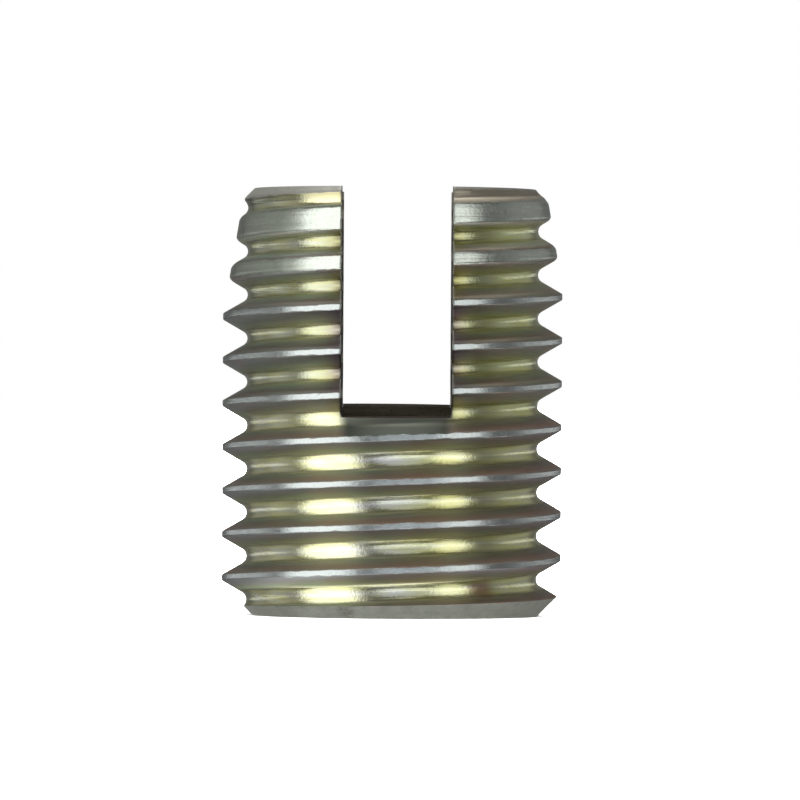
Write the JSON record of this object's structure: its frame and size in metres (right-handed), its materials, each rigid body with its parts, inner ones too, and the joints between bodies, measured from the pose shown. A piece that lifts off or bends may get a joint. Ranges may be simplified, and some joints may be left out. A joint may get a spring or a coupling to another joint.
{
  "type": "threaded insert",
  "caption": "Self-tapping threaded insert: a short bush with a coarse outside thread, a screw-threaded bore and a cutting slot across its tapered leading end.",
  "frame": {"origin": "centre of the flat end's face", "axes": "+Z along the insert's axis, from the flat end to the slotted leading end; the slot runs along Y"},
  "size_m": [0.0116, 0.0116, 0.0147],
  "materials": {
    "plated_steel": "yellow-passivated zinc plating, semi-bright, with dull turned chamfers"
  },
  "bodies": {
    "root": {"threaded_insert": "plated_steel"}
  },
  "joints": []
}
